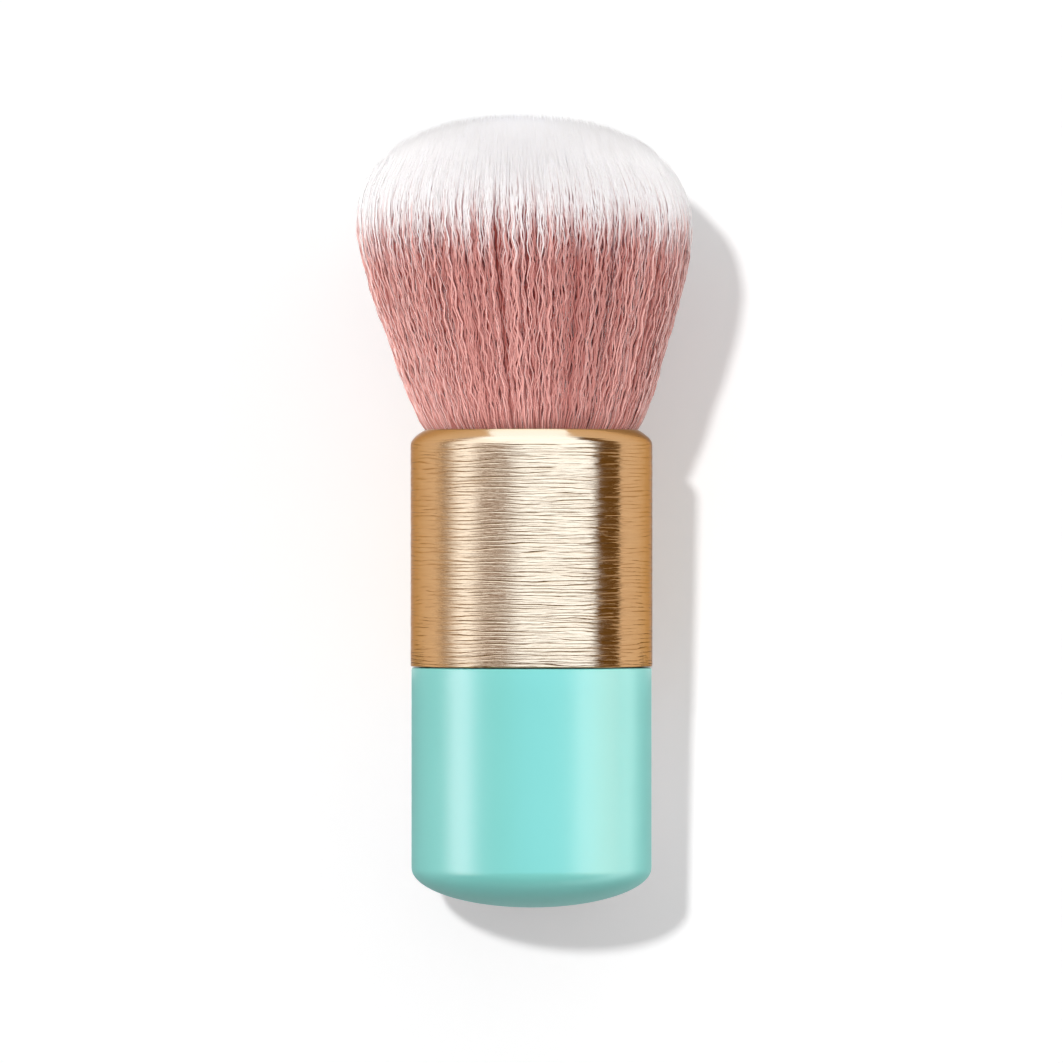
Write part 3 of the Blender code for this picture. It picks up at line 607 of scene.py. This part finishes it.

# Hair, the knot and the core: thousands of crimped synthetic fibres, bound at their roots in a
# knot with a waist for the band, and shaped to a dome. Here a solid core stands for the hair
# that no light reaches, painted with its shade, and the next section makes the rest.
NECK_RADIUS, BELLY_RADIUS = 0.0107, 0.0183
ROOT_HEIGHT, BELLY_HEIGHT, SHOULDER_HEIGHT = -0.0013, 0.0217, 0.0275
DOME_RISE = 0.0122
FLARE_POWER, DOME_POWER = 1.4, 2.35
LIP_SPILL = 0.00042               # how far the hair spills out over the lip
SPILL_START, SPILL_STOP = (-0.0003, 0.0005), (0.003, 0.010)  # where it grows, and goes again
SLOPE_STEP = 0.0001
HALVINGS = 30
LEAN_SHARE = 0.035
CORE_SHARE, CORE_DEPTH = 0.88, 0.0030          # of the reach, and how far under the tips
CORE_FLARE_POINTS, CORE_DOME_POINTS = 24, 17
KNOT_RADIUS, KNOT_WAIST = 0.0112, 0.0103
KNOT_FOOT, KNOT_WAIST_TOP, KNOT_TOP = -0.0047, -0.0018, -0.0008
# The core's pink and darker streaks paint the shade of the deep hair seen between the fibres;
# above its pale start it is white.
CORE_SHADE_DARK, CORE_PINK, CORE_WHITE = (0.28, 0.08, 0.065), (0.42, 0.14, 0.12), (0.93, 0.915, 0.92)
CORE_PALE = (0.020, 0.026)        # where its pink turns white
STREAK_WIDTH, STREAK_LENGTH, STREAK_DEPTH = 0.0003, 0.006, 0.0002


def ease(value, start, end):
    """0 up to start, 1 from end and a smooth slope between: 3 t squared less 2 t cubed."""
    share = np.clip((value - start) / (end - start), 0, 1)
    return share * share * (3 - 2 * share)


def hair_reach(height):
    """The hair's outside. Up to the belly it is the neck plus the swell, times one less what is
    left of the climb to a power, plus the spill over the lip. Above, it is the dome, and past
    the outermost tips it runs straight on at the slope that it has there."""
    climb = np.clip((height - ROOT_HEIGHT) / (BELLY_HEIGHT - ROOT_HEIGHT), 0, 1)
    flare = NECK_RADIUS + (BELLY_RADIUS - NECK_RADIUS) * (1 - (1 - climb) ** FLARE_POWER)
    slope = (hair_dome(SHOULDER_HEIGHT) - hair_dome(SHOULDER_HEIGHT - SLOPE_STEP)) / SLOPE_STEP
    above = np.where(height < SHOULDER_HEIGHT, hair_dome(height),
                     hair_dome(SHOULDER_HEIGHT) + slope * (height - SHOULDER_HEIGHT))
    spill = ease(height, *SPILL_START) * (1 - ease(height, *SPILL_STOP))
    return np.where(height < BELLY_HEIGHT, flare + LIP_SPILL * spill, above)


def hair_dome(height):
    """The dome of tips: the belly's radius times the root of one less the share of the rise to a
    power, which is a superellipse."""
    rise = np.clip((height - BELLY_HEIGHT) / DOME_RISE, 0, 1)
    return BELLY_RADIUS * (1 - rise ** DOME_POWER) ** (1 / DOME_POWER)


def tip_heights(share):
    """Where fibres at these shares of the reach meet the dome, by halving."""
    low = np.full(len(share), BELLY_HEIGHT)
    high = np.full(len(share), BELLY_HEIGHT + DOME_RISE)
    for _ in range(HALVINGS):
        middle = (low + high) / 2
        inside = hair_dome(middle) > share * hair_reach(middle)
        low, high = np.where(inside, middle, low), np.where(inside, high, middle)
    return low


def lean(height):
    """The hair's sideways drift: a share of its height above the lip, to the left."""
    return -LEAN_SHARE * np.maximum(height, 0)


fibre_core, tree, shader = finish("fibre_core", (*CORE_PINK, 1.0), 0.7)
place = brush_place(tree)
level = node(tree, "SeparateXYZ", Vector=place).outputs[2]
streaks = stretched_noise(tree, place, STREAK_WIDTH, STREAK_LENGTH)
pale = smooth_step(tree, level, *CORE_PALE)
streaked = ramp(tree, streaks, ((0.3, CORE_SHADE_DARK), (0.7, CORE_PINK)))
tree.links.new(mixed(tree, pale, streaked, (*CORE_WHITE, 1.0)), shader.inputs["Base Color"])
bump(tree, shader, streaks, STREAK_DEPTH)

core_heights = np.linspace(KNOT_TOP, BELLY_HEIGHT, CORE_FLARE_POINTS)
core_profile = [(0, KNOT_FOOT), (KNOT_WAIST, KNOT_FOOT), (KNOT_WAIST, KNOT_WAIST_TOP),
                (KNOT_RADIUS, KNOT_WAIST_TOP), (KNOT_RADIUS, KNOT_TOP)]
core_profile += list(zip(CORE_SHARE * hair_reach(core_heights), core_heights))
core_turns = np.linspace(0, math.pi / 2, CORE_DOME_POINTS)[1:]
core_profile += [(CORE_SHARE * BELLY_RADIUS * math.cos(a),
                  BELLY_HEIGHT + (DOME_RISE - CORE_DEPTH) * math.sin(a)) for a in core_turns]
core_profile[-1] = (0, core_profile[-1][1])
hair_core = mesh_piece("hair_core", *turned_surface(core_profile, lean), fibre_core, "hair",
                       "fibre_head")

# Hair, the fibres: fine synthetic fibre, crimped, drawn to a point and dyed pink up to its white
# tip. Each is a thin three-sided tube that runs at its own share of the hair's reach. Neighbours
# gather in locks that wave together, and each fibre has a crimp of its own.
SKIN_FIBRES, UNDER_FIBRES, CROWN_FIBRES = 2000, 3600, 20000
SKIN_SHARE, UNDER_SHARE = 0.95, 0.86       # of the reach, outside which each kind is rooted
SKIN_EDGE, CROWN_EDGE, LOCK_EDGE = 0.995, 0.93, 0.99         # and the share that each stays in
SKIN_STATIONS, UNDER_STATIONS, CROWN_STATIONS = 41, 19, 7
CROWN_LENGTH = 0.0095             # the part of a crown fibre that is made
LOCKS = 1500
SKIN_RADII, FIBRE_RADII = (0.000060, 0.000110), (0.000080, 0.000120)
TAPER_LENGTH, TAPER_POWER = 0.010, 0.48
CLUMP, CLUMP_LEAST = 0.20, 0.3    # how far fibres gather in their lock, and the least share of it
BOUND_HEIGHT, COMBED_LENGTH = 0.0025, 0.009    # waves grow from the lip and die out to the tip
ROOT_STRAY = 0.02                 # how far a fibre is rooted off its place, in radians
SPLAY = 0.018                     # how far it strays round the head by its tip, in radians
LOCK_WAVE, LOCK_WAVE_LENGTHS = 0.00010, (0.0045, 0.0080)
CRIMP, CRIMP_LENGTHS = 0.00014, (0.0018, 0.0038)
OUTWARD_SHARE = 0.5               # of a wave's swing round the head, what it swings outward
TIP_SCATTER, TIP_SCATTER_MOST = 0.00030, 2.4   # how unevenly tips end, and its most, in times
SKIN_SHORTFALL = 0.0007           # how much sooner the outermost fibres may end
BODY_SHARE, FLARE_TILT = 0.6, 0.3         # how far the head's roundness and flare shade a fibre
FIBRE_SEED = 11
PIECE_TRIANGLES = 190000
STRIPS, STRIP_EDGE = 256, 0.1     # fibres share the map's strips, and keep off a strip's edges
# Strips run from dark to light pink: the under fibres take the darkest and the outermost the
# lightest, which paints the shade deep in the hair.
SKIN_TINTS, UNDER_SHADE_TINTS, CROWN_TINTS = (0.25, 1.0), (0.0, 0.3), (0.1, 0.9)   # of those strips
DEPTH_SHADE_SHARE = 0.55                # how far a fibre's depth, and not chance, sets its strip
MAP_LENGTH = 0.036                # what the map's height spans, from the tip down
PINK_DARK, PINK_MID, PINK_LIGHT = (0.26, 0.028, 0.018), (0.268, 0.054, 0.040), (0.71, 0.37, 0.33)
PINK_LIT_LOW, PINK_LIP_SHADE = (0.56, 0.25, 0.22), (0.34, 0.12, 0.10)
TIP_WHITE = (0.715, 0.695, 0.693)
# The lower hair is painted paler towards the lip, as light falling on it.
ROOT_START, ROOT_WEIGHT = (20.0, 27.0), 0.25   # in millimetres from the tip, as the dye is too
# Where the painted shade line at the lip runs, in millimetres from the tip.
LIP_SHADE_START = (26.2, 28.4)
DYE_LEAST, DYE_SCATTER, DYE_TINT = 4.0, 4.0, 1.8           # where dye starts, and its spread
DYE_BEFORE, DYE_AFTER = 3.3, 2.8  # how far the change runs to either side of that
PINK_CLEAR, TIP_CLEAR = (0.60, 0.36, 0.34), (0.98, 0.975, 0.975)   # light a side lets through

chance = np.random.default_rng(FIBRE_SEED)
pink_fibre, tree, shader = finish("pink_fibre", (*PINK_LIGHT, 1.0), 0.34,
                                  Specular_IOR_Level=0.06, Sheen_Weight=1.0,
                                  Sheen_Roughness=0.42)
on_map = node(tree, "SeparateXYZ", Vector=node(tree, "UVMap", {"uv_map": "OFBake"}).outputs[0])
strip = maths(tree, "FLOOR", maths(tree, "MULTIPLY", on_map.outputs[0], STRIPS))
tints = node(tree, "TexWhiteNoise", {"noise_dimensions": "1D"}, W=strip)
draw = node(tree, "SeparateColor", Color=tints.outputs["Color"]).outputs
from_tip = maths(tree, "MULTIPLY", on_map.outputs[1], MAP_LENGTH * 1000)
# A strip picks its pink from dark to light, so the deeper fibres' darker strips are painted shade.
pink = ramp(tree, on_map.outputs[0], ((0.0, PINK_DARK), (0.5, PINK_MID), (1.0, PINK_LIGHT)))
# Paler pink over the lower hair towards the lip: painted light.
lit_low = smooth_step(tree, from_tip, *ROOT_START)
pink = mixed(tree, maths(tree, "MULTIPLY", lit_low, ROOT_WEIGHT), pink, (*PINK_LIT_LOW, 1.0))
# A darker pink where the hair meets the lip: a painted shade line.
pink = mixed(tree, smooth_step(tree, from_tip, *LIP_SHADE_START), pink, (*PINK_LIP_SHADE, 1.0))
change = maths(tree, "MULTIPLY_ADD", draw[1], DYE_SCATTER, DYE_LEAST)
change = maths(tree, "MULTIPLY_ADD", on_map.outputs[0], DYE_TINT, change)
dyed = smooth_step(tree, from_tip, maths(tree, "SUBTRACT", change, DYE_BEFORE),
                   maths(tree, "ADD", change, DYE_AFTER))
tree.links.new(mixed(tree, dyed, (*TIP_WHITE, 1.0), pink), shader.inputs["Base Color"])
clear = node(tree, "BsdfTransparent", Color=mixed(tree, dyed, (*TIP_CLEAR, 1.0),
                                                   (*PINK_CLEAR, 1.0)))
thin = node(tree, "MixShader", i0=node(tree, "LightPath").outputs["Is Shadow Ray"],
            i1=shader.outputs[0], i2=clear.outputs[0])
tree.links.new(thin.outputs[0], tree.nodes["Material Output"].inputs["Surface"])


def hair_places(count, inner, outer):
    """Places of fibres as complex shares of the reach: evenly spread by the golden angle
    between two shares, and strayed a little."""
    number = np.arange(count) + 0.5
    share = np.sqrt(inner ** 2 + (outer ** 2 - inner ** 2) * number / count)
    stray = chance.uniform(-ROOT_STRAY, ROOT_STRAY, count)
    angle = number * math.pi * (3 - math.sqrt(5)) + stray
    return share * np.exp(1j * angle)


def fibre_paths(places, stations, length, thickness, tints):
    """The middles and radii of fibres at their stations. A middle is its share of the reach,
    drawn towards its lock, plus the lock's wave and its own crimp; the radius falls off with a
    power of the way left to the tip. The further out a fibre stands, the lighter its tint, and
    the deeper the darker: painted shade and light by depth, mixed with a tint at random."""
    count = len(places)
    share = np.abs(places)
    scatter = chance.normal(0, 1, count).clip(-TIP_SCATTER_MOST, TIP_SCATTER_MOST)
    tips = tip_heights(share) + TIP_SCATTER * scatter
    tips -= np.abs(chance.normal(0, SKIN_SHORTFALL, count)) * (share > SKIN_SHARE)
    feet = np.full(count, ROOT_HEIGHT) if length is None else tips - length
    heights = feet[:, None] + (tips - feet)[:, None] * np.linspace(0, 1, stations)
    reach = hair_reach(heights)
    lock = np.abs(places[:, None] - lock_places[None]).argmin(1)
    left = tips[:, None] - heights
    free = np.clip(heights / BOUND_HEIGHT, 0, 1) * np.clip(left / COMBED_LENGTH, 0, 1)
    draw_in = CLUMP * free * chance.uniform(CLUMP_LEAST, 1.0, count)[:, None]
    middle = reach * (places[:, None] + (lock_places[lock] - places)[:, None] * draw_in)
    climb = np.clip(heights / BELLY_HEIGHT, 0, 1)
    middle = middle * np.exp(1j * climb * chance.normal(0, SPLAY, count)[:, None])
    outward = (places / np.maximum(share, 1e-6))[:, None]
    sway = 0
    for size, low, high, number, pick in (
            (LOCK_WAVE, *LOCK_WAVE_LENGTHS, LOCKS, lock), (CRIMP, *CRIMP_LENGTHS, count, None)):
        spans = chance.uniform(low, high, (2, number))
        phases = chance.uniform(0, math.tau, (2, number))
        if pick is not None:
            spans, phases = spans[:, pick], phases[:, pick]
        waves = np.sin(math.tau * heights / spans[..., None] + phases[..., None])
        sway = sway + size * (OUTWARD_SHARE * waves[0] + 1j * waves[1])
    middle = middle + sway * free * outward
    radii = chance.uniform(*thickness, (count, 1)) * np.clip(left / TAPER_LENGTH,
                                                             0, 1) ** TAPER_POWER
    # Deeper fibres take darker strips: painted shade, mixed with a tint at random.
    depth = (share - share.min()) / (share.max() - share.min())
    depth_shade_and_tint = DEPTH_SHADE_SHARE * depth + (1 - DEPTH_SHADE_SHARE) * chance.uniform(0, 1, count)
    strips = (STRIPS * (tints[0] + (tints[1] - tints[0]) * depth_shade_and_tint)).astype(int)
    return middle, heights, radii, places, strips


def fibre_mesh(middle, heights, radii, places, strip):
    """Three-sided tubes round the middles, closed below and drawn to a point above. A corner is
    its middle plus its radius towards one of three directions a third of a turn apart. Its
    normal is that direction plus a share of the head's own, which is the fibre's place and a
    tilt: back towards the handle at the lip, and forward at the tips as on a ball."""
    count, stations = heights.shape
    spin = chance.uniform(0, math.tau, count)[:, None, None]
    corner = np.exp(1j * (spin + math.tau * np.arange(3) / 3))
    spots = middle[:, :-1, None] + radii[:, :-1, None] * corner
    levels = np.repeat(heights[:, :-1, None], 3, 2)
    spots = np.concatenate((spots.reshape(count, -1), middle[:, -1:]), 1)
    levels = np.concatenate((levels.reshape(count, -1), heights[:, -1:]), 1)
    points = laid(np.stack((spots.real + lean(levels), spots.imag, levels), 2).reshape(-1, 3))
    points[:, 2] = np.maximum(points[:, 2], 0)
    facing = np.broadcast_to(corner + BODY_SHARE * places[:, None, None],
                             (count, stations - 1, 3))
    facing = np.concatenate((facing.reshape(count, -1), places[:, None]), 1)
    forward = np.sqrt(1 - np.abs(places[:, None]) ** 2) + FLARE_TILT
    tilt = BODY_SHARE * (forward * np.clip(levels / BELLY_HEIGHT, 0, 1) - FLARE_TILT)
    normals = np.stack((facing.real, facing.imag, tilt), 2).reshape(-1, 3)
    normals /= np.linalg.norm(normals, axis=1, keepdims=True)
    normals = laid(normals) - LIP_CENTRE

    rows = stations - 2
    low = 3 * np.arange(rows)[:, None]
    side = np.arange(3)
    after = (side + 1) % 3
    quads = np.stack((low + side, low + after, low + 3 + after, low + 3 + side), 2).reshape(-1)
    last = 3 * rows
    tip = np.stack((last + side, last + after, np.full(3, last + 3)), 1).ravel()
    pattern = np.concatenate((quads, tip, (2, 1, 0)))
    each = last + 4
    corners = (each * np.arange(count)[:, None] + pattern).ravel()
    sizes = np.tile(np.array([4] * (3 * rows) + [3] * 4), count)

    strip = strip[:, None]
    across_quad = np.stack((side, side + 1, side + 1, side), 1)
    across = np.concatenate((np.tile(across_quad, (rows, 1)).ravel(),
                             np.stack((side, side + 1, side + 0.5), 1).ravel(), (3, 1.5, 0)))
    station = np.concatenate((quads // 3, tip // 3, (0, 0, 0)))
    left = (heights[:, -1:] - heights[:, station]) / MAP_LENGTH
    inside = STRIP_EDGE + (1 - 2 * STRIP_EDGE) * across / 3
    uvs = np.stack(((strip + inside) / STRIPS, left), 2).reshape(-1, 2)
    return normals, (points, corners, sizes, uvs)


lock_places = hair_places(LOCKS, 0.0, LOCK_EDGE)
groups = (("hair_skin", hair_places(SKIN_FIBRES, SKIN_SHARE, SKIN_EDGE), SKIN_STATIONS, None,
           SKIN_RADII, SKIN_TINTS),
          ("hair_under", hair_places(UNDER_FIBRES, UNDER_SHARE, SKIN_SHARE), UNDER_STATIONS, None,
           FIBRE_RADII, UNDER_SHADE_TINTS),
          ("hair_crown", hair_places(CROWN_FIBRES, 0.0, CROWN_EDGE), CROWN_STATIONS, CROWN_LENGTH,
           FIBRE_RADII, CROWN_TINTS))
hair = [hair_core]
for name, places, stations, length, thickness, tints in groups:
    paths = fibre_paths(places, stations, length, thickness, tints)
    triangles = len(places) * (6 * stations - 8)  # six between stations, four at the two ends
    pieces = math.ceil(triangles / PIECE_TRIANGLES)
    turns = np.angle(places) % math.tau
    order = np.array_split(np.argsort(turns), pieces)
    for number, chosen in enumerate(order, start=1):
        normals, shape = fibre_mesh(*(part[chosen] for part in paths))
        hair.append(mesh_piece(f"{name}_{number}", *shape, pink_fibre, "hair", "fibre_head",
                               normals=normals))

# Three soft lamps light the hair alone: a low one from each side, a little towards the handle,
# and one from beyond the tips. Each has the way towards it and its brightness. Gloss doesn't
# see the hair.
HEAD_MIDDLE = 0.0170
HAIR_LAMP_DISTANCE, HAIR_LAMP_SIZE = 0.5, 0.5
HAIR_LAMPS = (
    ("hair_left", (-0.76, -0.65, 0.02), 8.3),
    ("hair_right", (0.86, -0.50, 0.10), 4.5),
    ("hair_tips", (0.05, 0.95, 0.30), 2.1))

for piece in hair:
    piece.visible_glossy = False
for name, towards, brightness in HAIR_LAMPS:
    panel = bpy.data.lights.new(name, "AREA")
    panel.size = HAIR_LAMP_SIZE
    panel.energy = brightness * math.pi * HAIR_LAMP_SIZE ** 2
    lamp = bpy.data.objects.new(name, panel)
    bpy.context.scene.collection.objects.link(lamp)
    towards = mathutils.Vector(towards).normalized()
    middle = mathutils.Vector(laid(np.array(((0, 0, HEAD_MIDDLE),)))[0])
    lamp.location = middle + HAIR_LAMP_DISTANCE * towards
    lamp.rotation_euler = towards.to_track_quat("Z", "Y").to_euler()
    lamp.visible_camera = lamp.visible_transmission = False
    lamp.light_linking.receiver_collection = bpy.data.collections.new(name)
    for piece in hair:
        lamp.light_linking.receiver_collection.objects.link(piece)
